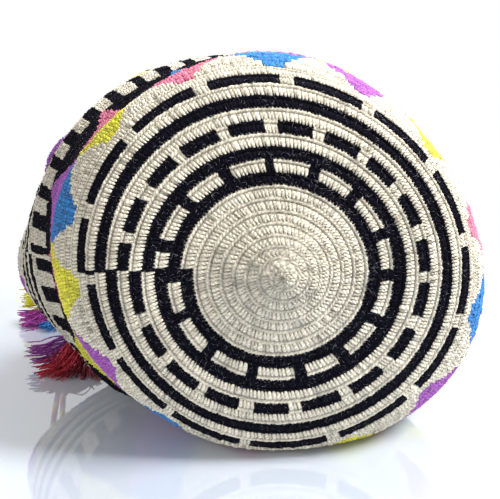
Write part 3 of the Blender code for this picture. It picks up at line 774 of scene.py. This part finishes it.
tassel = {
    "headRadius": 0.0085,
    "headLength": 0.019,
    "bindingRadius": 0.0072,
    "bindingLength": 0.005,
    "threadRadius": 0.00048,
    "sides": 6,
    "steps": 16,
    "twistPitch": 0.0030,
    "twistDepth": 0.16,
    "uneven": 0.15,  # how much threads differ in thickness
    "wave": 0.0011,
    "waves": (3, 8),
    "turnOut": 0.16,
    "scatter": 0.0008,  # how far threads start from their place in the binding
    "startReach": 0.0050,
    "fallen": 0.75,  # share of its length at which a thread has come down to its tip's height
    "fanSpread": 3.0,
    "lengthSkew": (2.2, 1.2),  # more long threads than short ones
    "layerSkew": (1.1, 1.4),  # and more low ones than high
    "startFan": 1.6,
    "twistUV": 10.0,
    "capAngles": (4, 15, 35, 55, 75, 95, 115, 135),
    "bindingShape": ((0, 0.8), (0.2, 1), (0.8, 1), (1, 0.8)),
    "threadsFrom": 0.8,  # share of the binding's length at which the threads come out
    "straight": 0.35,  # share of its bearing with which a thread leaves the binding
    "bendPower": 0.7,
    "hump": 0.6,
    "humpEnds": 1.35,
    "lowHump": 0.25,  # share of the hump that the lowest threads keep
    "cutFrom": 0.985,
    "cutShare": 0.55,
}
wraps = {
    "head": (9, 0.0006),  # winds, and their depth
    "binding": (5, 0.0005),
    "steps": 44,
    "sides": 48,
    "crestPower": 0.6,
    "stitches": 12,
    "stitchDepth": 0.3,
    "stitchTurn": 1.9,
    "closedUnder": 0.001,
}
# A bundle: name, yarn, threads, fan in degrees off the tassel's way, lengths, tip heights, hump
nearTassel = {
    "spot": (-0.0965, 0.2605, 0.0105),
    "way": (-0.52, -0.855, 0.0),
    "bundles": (
        ("crimson", "crimson", 88, (-14, 20), (0.038, 0.052), (0.0006, 0.011), 0.011),
        ("purple", "plum", 52, (14, 60), (0.032, 0.044), (0.004, 0.019), 0.009),
        ("maroon", "maroon", 56, (-46, -8), (0.028, 0.048), (0.0006, 0.006), 0.006),
    ),
}
farTassel = {
    "spot": (-0.1100, 0.3620, 0.0105),
    "way": (-0.97, -0.24, 0.0),
    "bundles": (
        ("orchid", "orchid", 70, (-22, 16), (0.032, 0.046), (0.0006, 0.012), 0.010),
        ("yellow", "yellow", 76, (-6, 34), (0.026, 0.044), (0.012, 0.030), 0.012),
        ("blue", "blue", 40, (-62, -20), (0.024, 0.036), (0.0006, 0.006), 0.005),
    ),
}


def tasselWays(one):
    # The way that the tassel points, and the way to its side
    way = np.array(one["way"]) / np.linalg.norm(one["way"])
    return way, np.array((way[1], -way[0], 0))


def smoothRoute(points, spacing):
    route = [np.array(p, float) for p in points]
    ends = [2 * route[0] - route[1], *route, 2 * route[-1] - route[-2]]
    t = np.linspace(0, 1, 17)[:-1, None]
    fine = []
    for a, b, c, d in zip(ends, ends[1:], ends[2:], ends[3:]):
        square, cube = 2 * a - 5 * b + 4 * c - d, 3 * b - a - 3 * c + d
        fine.append(0.5 * (2 * b + (c - a) * t + square * t**2 + cube * t**3))
    fine = np.concatenate([*fine, route[-1][None]])
    return spaced(fine, spacing)


def distances(points):
    steps = np.linalg.norm(np.diff(points, axis=0), axis=1)
    return np.concatenate([[0], np.cumsum(steps)])


def spaced(points, spacing):
    far = distances(points)
    wanted = np.linspace(0, far[-1], max(2, round(far[-1] / spacing)) + 1)
    return np.stack([np.interp(wanted, far, points[:, k]) for k in range(3)], 1)


def packed(points):
    return np.asarray(points) - np.array((0, restDepth, 0))


def lacingPoints(count):
    angle = np.linspace(cord["endAngle"], 360 - cord["endAngle"], count)
    row = bag["mouthRow"] + 0.5 + angle / 360
    turn = np.radians(angle)
    inward = np.stack([np.cos(turn), 0 * turn, np.sin(turn)], 1)
    reach = foldReach(row) * foldWave(angle) + bag["wall"] / 2
    return bodyPoint(row, angle) + inward * reach[:, None]


def tailPoints(end, before, route, one):
    leaving = (end - before) / np.linalg.norm(end - before)
    way, _ = tasselWays(one)
    start = end + leaving * bag["touchGap"]
    finish = np.array(one["spot"]) - way * (tassel["headLength"] / 2 + bag["touchGap"])
    first = start + leaving * cord["diameter"]
    last = finish - way * cord["diameter"]
    middle = smoothRoute([first, *route, last], cord["spacing"] * cord["diameter"])
    return smoothRoute([start, *middle, finish], cord["step"])


def sweep(paths, radii):
    # Tubes along several paths at once; radii holds one for each path, step and side
    along = np.gradient(paths, axis=1)
    along /= np.linalg.norm(along, axis=2, keepdims=True)
    pick = np.where(np.abs(along[:, :1, 2:]) > 0.9, np.array((1.0, 0, 0)), np.array((0, 0, 1.0)))
    normal = np.cross(along[:, 0], pick[:, 0])
    normals = np.zeros_like(paths)
    for k in range(paths.shape[1]):
        normal = normal - (normal * along[:, k]).sum(1, keepdims=True) * along[:, k]
        normal /= np.linalg.norm(normal, axis=1, keepdims=True)
        normals[:, k] = normal
    across = np.cross(along, normals)
    turn = circle(radii.shape[2])
    spoke = normals[:, :, None] * np.cos(turn)[:, None] + across[:, :, None] * np.sin(turn)[:, None]
    return paths[:, :, None] + spoke * radii[..., None]


def tubeMesh(name, grids, names, twistUV, yarn=0):
    # grids holds paths, steps, sides and coordinates; yarn says which of the names each face has
    tubes, steps, sides = grids.shape[:3]
    number = np.arange(tubes * steps * sides).reshape(tubes, steps, sides)
    a, b = number[:, :-1], np.roll(number, -1, 2)[:, :-1]
    quads = np.stack([a, b, b + sides, a + sides], -1).reshape(-1, 4)
    side = np.arange(sides)[None, None, :, None] + np.array((0, 1, 1, 0))
    step = np.arange(steps - 1)[None, :, None, None] + np.array((0, 0, 1, 1))
    uv = np.stack(np.broadcast_arrays(side / sides * 2, step * twistUV / steps), -1)
    uv = np.broadcast_to(uv, (tubes,) + uv.shape[1:]).reshape(-1, 2)
    points = grids.reshape(-1, 3)
    points[:, 2] = np.maximum(points[:, 2], 0.0)
    faceYarn = np.broadcast_to(yarn, (tubes, steps - 1, sides)).ravel()
    mesh = meshFromArrays(name, packed(points), quads, faceYarn, uv)
    return addObject(name, mesh, [yarns[y] for y in names])


def cordPiece(name, path, cadNode):
    far = np.arange(len(path)) * cord["step"]
    turn = circle(cord["sides"])
    phase = (turn[None, :] + far[:, None] / cord["plyPitch"] * 2 * np.pi) % (2 * np.pi)
    plies = len(cord["yarns"])
    crest = np.abs(np.sin(plies / 2 * phase)) ** cord["crestPower"]
    radius = cord["diameter"] / 2 * (1 + cord["swell"] - cord["plyDepth"] * (1 - crest))
    grid = sweep(path[None], radius[None])
    ply = (phase[:-1] / (2 * np.pi / plies)).astype(int) % plies
    made = tubeMesh(name, grid, cord["yarns"], len(path) / cord["stepsPerUV"], ply[None])
    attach(made, "root")
    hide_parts(cadNode)
    return made


def turnedPiece(name, one, profile, wrap, yarn, cadNode):
    # profile gives distance along the tassel's way and radius; the wrap's winds run round it
    v = wraps
    winds, depth = wrap
    way, aside = tasselWays(one)
    far = np.linspace(0, 1, v["steps"])
    along = np.interp(far, np.linspace(0, 1, len(profile)), [p[0] for p in profile])
    radius = np.interp(far, np.linspace(0, 1, len(profile)), [p[1] for p in profile])
    turn = circle(v["sides"])
    slanted = far[:, None] * winds + turn[None, :] / (2 * np.pi)
    relief = depth * np.abs(np.sin(np.pi * slanted)) ** v["crestPower"]
    shifted = turn[None, :] * v["stitches"] + np.floor(slanted) * v["stitchTurn"]
    stitchy = v["stitchDepth"] * depth * np.sin(shifted)
    wrapped = radius[:, None] > v["closedUnder"]
    full = np.maximum(radius[:, None] + (relief - depth + stitchy) * wrapped, 0)
    spoke = aside * np.cos(turn)[:, None] + np.array((0, 0, 1)) * np.sin(turn)[:, None]
    grid = np.array(one["spot"]) + way * along[:, None, None] + spoke[None] * full[..., None]
    made = tubeMesh(name, grid[None], (yarn,), float(v["steps"]))
    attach(made, "root")
    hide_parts(cadNode)
    return made


def threadBundle(name, one, bundle, start, cadNode, seed):
    # Loose threads that fan out of the binding and sag to the floor
    v = tassel
    _, yarn, count, fan, lengths, heights, rise = bundle
    rng = np.random.RandomState(seed)
    way, aside = tasselWays(one)
    share = (np.arange(count) + rng.uniform(0, 1, count)) / count
    angle = np.radians(between(fan, share) + rng.normal(0, v["fanSpread"], count))
    reach = between(lengths, rng.beta(*v["lengthSkew"], count))
    layer = rng.beta(*v["layerSkew"], count)
    tip = between(heights, layer)
    t = np.linspace(0, 1, v["steps"])[None, :]
    head = np.array(one["spot"])
    turnOut = rng.normal(0, v["turnOut"], count)
    bend = between((v["straight"], 1), t ** v["bendPower"])
    bearing = angle[:, None] * bend + turnOut[:, None] * t**2
    step = np.gradient(t * reach[:, None], axis=1)
    ahead = np.cumsum(step * np.cos(bearing), axis=1) - step * np.cos(bearing)
    sideways = np.cumsum(step * np.sin(bearing), axis=1)
    scatter = rng.normal(0, v["scatter"], count)
    startSide = v["startReach"] * np.sin(angle * v["startFan"]) + scatter
    startUp = v["startReach"] * (2 * layer - 1)
    waves = rng.uniform(*v["waves"], count)[:, None]
    wave = v["wave"] * np.sin(t * waves + rng.uniform(0, 6, count)[:, None]) * t
    fallen = easeBetween(0.0, v["fallen"], t)
    height = (head[2] + startUp)[:, None] * (1 - fallen) + tip[:, None] * fallen
    humped = between((v["lowHump"], 1), layer)[:, None]
    hump = np.sin(np.pi * np.minimum(t * v["humpEnds"], 1))
    height = height + rise * humped * hump * v["hump"]
    height = np.maximum(height + wave * 0.5, v["threadRadius"])
    offSide = aside * (startSide[:, None] + sideways + wave)[..., None]
    paths = head + way * (start + ahead)[..., None] + offSide
    paths[..., 2] = height
    turn = circle(v["sides"])
    twisted = t[..., None] * reach[:, None, None] / v["twistPitch"] * np.pi
    twist = np.cos(2 * (turn[None, None, :] + twisted))
    uneven = rng.uniform(1 - v["uneven"], 1 + v["uneven"], count)
    thick = v["threadRadius"] * uneven[:, None, None]
    taper = np.where(t > v["cutFrom"], v["cutShare"], 1.0)[..., None]
    grid = sweep(paths, thick * taper * (1 + v["twistDepth"] * twist))
    made = tubeMesh(name, grid, (yarn,), v["twistUV"])
    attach(made, "root")
    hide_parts(cadNode)
    return made


def wholeTassel(prefix, one, seed):
    half = tassel["headLength"] / 2
    caps = np.radians(tassel["capAngles"])
    head = [(-half * math.cos(a), tassel["headRadius"] * math.sin(a)) for a in caps]
    head.append((half, tassel["headRadius"] * math.sin(caps[-1])))
    start = half + bag["touchGap"]
    long, wide = tassel["bindingLength"], tassel["bindingRadius"]
    binding = [(start + a * long, wide * b) for a, b in tassel["bindingShape"]]
    comeOut = start + long * tassel["threadsFrom"]
    pieces = []
    for part, profile, yarn in (("head", head, "crimson"), ("binding", binding, "yellow")):
        name, cadNode = prefix + "_" + part + "_wrap", prefix + "_tassel_" + part
        pieces.append(turnedPiece(name, one, profile, wraps[part], yarn, cadNode))
    for k, bundle in enumerate(one["bundles"]):
        cadNode = prefix + "_tassel_skirt_" + bundle[0]
        name, slotName = prefix + "_threads_" + bundle[0], "thread_" + bundle[0]
        pieces.append(threadBundle(name, one, bundle, comeOut, cadNode, seed + k))
    return pieces


lacing = lacingPoints(cord["loopPoints"])
cordPiece("drawstring_loop", spaced(lacing, cord["step"]), "drawstring")
coarse = lacingPoints(cord["partPoints"])
for prefix, ends, route, one, seed in (
    ("near", (coarse[0], coarse[1]), nearRoute, nearTassel, 11),
    ("far", (coarse[-1], coarse[-2]), farRoute, farTassel, 31),
):
    path = tailPoints(*ends, route, one)
    tail = cordPiece("drawstring_" + prefix, path, "drawstring_tail_" + prefix)
    onIt = wholeTassel(prefix, one, seed)


# Strap: a flat crocheted band, sewn under the rim at its two ends and folded behind the bag

strap = {
    "width": 0.064,
    "thickness": 0.0036,
    "overlap": 0.014,
    "archLength": 0.06,
    "strands": 28,
    "rowPitch": 0.0034,
    "relief": 0.0005,
    "diamondRows": 22,
    "diamondReach": 0.62,  # places across, as shares of half the width
    "coreReach": 0.45,
    "line": (0.66, 0.76),
    "edgeFrom": 0.86,
    "slant": 0.45,
    "crestPower": 0.7,
    "rowDip": 0.45,
    "edgePower": 14,  # how square the band's edges are
}
strapRoute = (
    (0.32, 0.0018), (0.4, 0.0018), (0.49, 0.0018), (0.5, 0.003), (0.5065, 0.01),
    (0.5, 0.017), (0.49, 0.0182), (0.43, 0.0182), (0.386, 0.0182), (0.377, 0.0196),
    (0.371, 0.0268), (0.377, 0.034), (0.386, 0.0354), (0.43, 0.0354), (0.462, 0.0362),
    (0.474, 0.041), (0.478, 0.051), (0.47, 0.061), (0.452, 0.068), (0.425, 0.077),
    (0.403, 0.094), (0.39, 0.117), (0.38, 0.145), (0.364, 0.174), (0.338, 0.197),
    (0.312, 0.2075),
)


def strapYarn(row, across):
    # Diamonds in four colours down the middle, on black, with a cream line and a cream edge
    cycle = ("yellow", "purple", "blue", "pink")
    long = strap["diamondRows"]
    number = np.floor(row / long).astype(int)
    off = np.abs((row % long) / long - 0.5) * 2
    side = np.abs(across)
    picked = np.array([yarnOrder.index(c) for c in cycle])[number % 4]
    core = np.array([yarnOrder.index(c) for c in cycle])[(number + 2) % 4]
    inside = side / strap["diamondReach"] < 1 - off
    inner = side / strap["diamondReach"] < strap["coreReach"] - off
    nearEdge, farEdge = strap["line"]
    pale = (side > strap["edgeFrom"]) | ((side > nearEdge) & (side < farEdge))
    ground = np.where(pale, yarnOrder.index("cream"), yarnOrder.index("black"))
    return np.where(inner, core, np.where(inside, picked, ground))


def strapBand(v):
    centreX = float(bodyPoint(bag["rowCount"], 90.0)[0])
    thick = v["thickness"]
    lowY = float(np.interp(bag["rowCount"] + 0.25, tableRows, tableDepths)) - v["overlap"]
    highZ = mouthHeight + rimRadius + bag["touchGap"] + thick / 2
    flat = [(0, y, z) for y, z in strapRoute]
    first = [(0, lowY, thick / 2), (0, lowY + v["overlap"], thick / 2)]
    last = [(0, lowY + v["overlap"], highZ), (0, lowY, highZ)]
    line = smoothRoute([*first, *flat, *last], v["rowPitch"] / 2)
    line[:, 2] = np.maximum(line[:, 2], thick / 2)
    far = distances(line)
    tangent = np.gradient(line, axis=0)
    tangent /= np.linalg.norm(tangent, axis=1, keepdims=True)
    normal = np.stack([0 * far, -tangent[:, 2], tangent[:, 1]], 1)
    across = np.linspace(-1, 1, v["strands"] * 2 + 1)
    bow = rimRadius - np.sqrt(rimRadius**2 - (across * v["width"] / 2) ** 2)
    rise = settled(rimClearance + bow) - settled(rimClearance)
    lowEnd = 1 - easeBetween(v["overlap"], v["archLength"], far)
    highEnd = 1 - easeBetween(v["overlap"], v["archLength"], far[-1] - far)
    lifted = rise[None] * lowEnd[:, None] + bow[None] * highEnd[:, None]
    strand = (across + 1) / 2 * v["strands"]
    rows = far / v["rowPitch"]
    slanted = strand[None, :] + v["slant"] * np.abs((rows[:, None] % 2) - 1)
    dips = (1 - v["rowDip"]) + v["rowDip"] * np.abs(np.sin(np.pi * rows))[:, None]
    relief = np.abs(np.sin(np.pi * slanted)) ** v["crestPower"] * dips
    edge = np.sqrt(np.clip(1 - np.abs(across) ** v["edgePower"], 0, 1))
    half = (thick / 2 - v["relief"] * (1 - relief)) * edge
    middle = line[:, None] + normal[:, None] * lifted[..., None]
    middle[..., 0] += centreX + across[None] * v["width"] / 2
    upper = middle + normal[:, None] * half[..., None]
    lower = middle - normal[:, None] * half[..., None]
    grid = np.concatenate([upper, lower[:, ::-1][:, 1:-1]], 1)
    acrossAll = np.concatenate([across, across[::-1][1:-1]])
    yarn = strapYarn(*np.broadcast_arrays(rows[:-1, None], acrossAll[None]))
    made = tubeMesh("strap_band", grid[None], yarnOrder, float(rows[-1]), yarn[None])
    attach(made, "root")
    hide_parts("strap")


strapBand(strap)


# Floor and lights: a glossy white table that fades into a white room

studio = {
    "floorSize": 8.0,
    "floorColour": (0.61, 0.67, 0.77),
    "floorRoughness": 0.04,
    "floorIOR": 2.6,
    "floorGlow": 0.03,  # white added where the camera or a mirror looks
    "fade": (0.26, 0.56),  # distances from the middle over which it turns white
    "world": 0.50,
    "key": {"power": 29.0, "spot": (0.80, -0.65, 1.0), "size": 0.45},
    "top": {"power": 16.0, "spot": (0.35, 0.35, 1.2), "size": 0.6},
    "fill": {"power": 6.0, "spot": (-0.9, -1.0, 0.6), "size": 0.8},
    "aim": (0, -0.05, 0.1),
}


def areaLight(name, light):
    lamp = bpy.data.lights.new(name, "AREA")
    lamp.shape = "DISK"
    lamp.size = light["size"]
    lamp.energy = light["power"]
    made = bpy.data.objects.new(name, lamp)
    bpy.context.scene.collection.objects.link(made)
    made.location = light["spot"]
    way = Vector(studio["aim"]) - made.location
    made.rotation_euler = way.to_track_quat("-Z", "Y").to_euler()


def seenStrength(tree, plain, seen):
    # One strength for the camera and for mirrors, and another for the light on the object
    path = node(tree, "ShaderNodeLightPath")
    looking = path.outputs["Is Camera Ray"]
    for ray in ("Is Glossy Ray", "Is Transmission Ray"):
        either = node(tree, "ShaderNodeMath", operation="MAXIMUM")
        tree.links.new(looking, either.inputs[0])
        tree.links.new(path.outputs[ray], either.inputs[1])
        looking = either.outputs[0]
    return mapped(tree, looking, (plain, seen))


def makeFloor(v):
    mesh = bpy.data.meshes.new("floor")
    half = v["floorSize"] / 2
    corners = [(x * half, y * half, 0) for x, y in ((-1, -1), (1, -1), (1, 1), (-1, 1))]
    mesh.from_pydata(corners, [], [(0, 1, 2, 3)])
    floor = bpy.data.objects.new("floor", mesh)
    bpy.context.scene.collection.objects.link(floor)
    made = bpy.data.materials.new("glossyTable")
    made.use_nodes = True
    tree = made.node_tree
    link = tree.links.new
    shader = tree.nodes["Principled BSDF"]
    shader.inputs["Base Color"].default_value = (*v["floorColour"], 1)
    shader.inputs["Roughness"].default_value = v["floorRoughness"]
    shader.inputs["IOR"].default_value = v["floorIOR"]
    glow = node(tree, "ShaderNodeEmission", Color=(1, 1, 1, 1))
    link(seenStrength(tree, 0.0, v["floorGlow"]), glow.inputs["Strength"])
    lit = node(tree, "ShaderNodeAddShader")
    link(shader.outputs[0], lit.inputs[0])
    link(glow.outputs[0], lit.inputs[1])
    white = node(tree, "ShaderNodeEmission", Color=(1, 1, 1, 1))
    link(seenStrength(tree, v["world"], 1.0), white.inputs["Strength"])
    place = node(tree, "ShaderNodeTexCoord")
    far = node(tree, "ShaderNodeVectorMath", operation="LENGTH")
    link(place.outputs["Object"], far.inputs[0])
    fade = node(tree, "ShaderNodeMapRange", interpolation_type="SMOOTHSTEP")
    fade.inputs["From Min"].default_value, fade.inputs["From Max"].default_value = v["fade"]
    link(far.outputs["Value"], fade.inputs["Value"])
    blend = node(tree, "ShaderNodeMixShader")
    link(fade.outputs["Result"], blend.inputs[0])
    link(lit.outputs[0], blend.inputs[1])
    link(white.outputs[0], blend.inputs[2])
    link(blend.outputs[0], tree.nodes["Material Output"].inputs["Surface"])
    mesh.materials.append(made)


def makeStudio(v):
    makeFloor(v)
    world = bpy.data.worlds.new("whiteRoom")
    bpy.context.scene.world = world
    world.use_nodes = True
    background = world.node_tree.nodes["Background"]
    background.inputs["Color"].default_value = (1, 1, 1, 1)
    strength = seenStrength(world.node_tree, v["world"], 1.0)
    world.node_tree.links.new(strength, background.inputs["Strength"])
    for name in ("key", "top", "fill"):
        areaLight(name + "Light", v[name])


makeStudio(studio)
bpy.context.scene.view_settings.view_transform = "Standard"
print("floor and lights made")
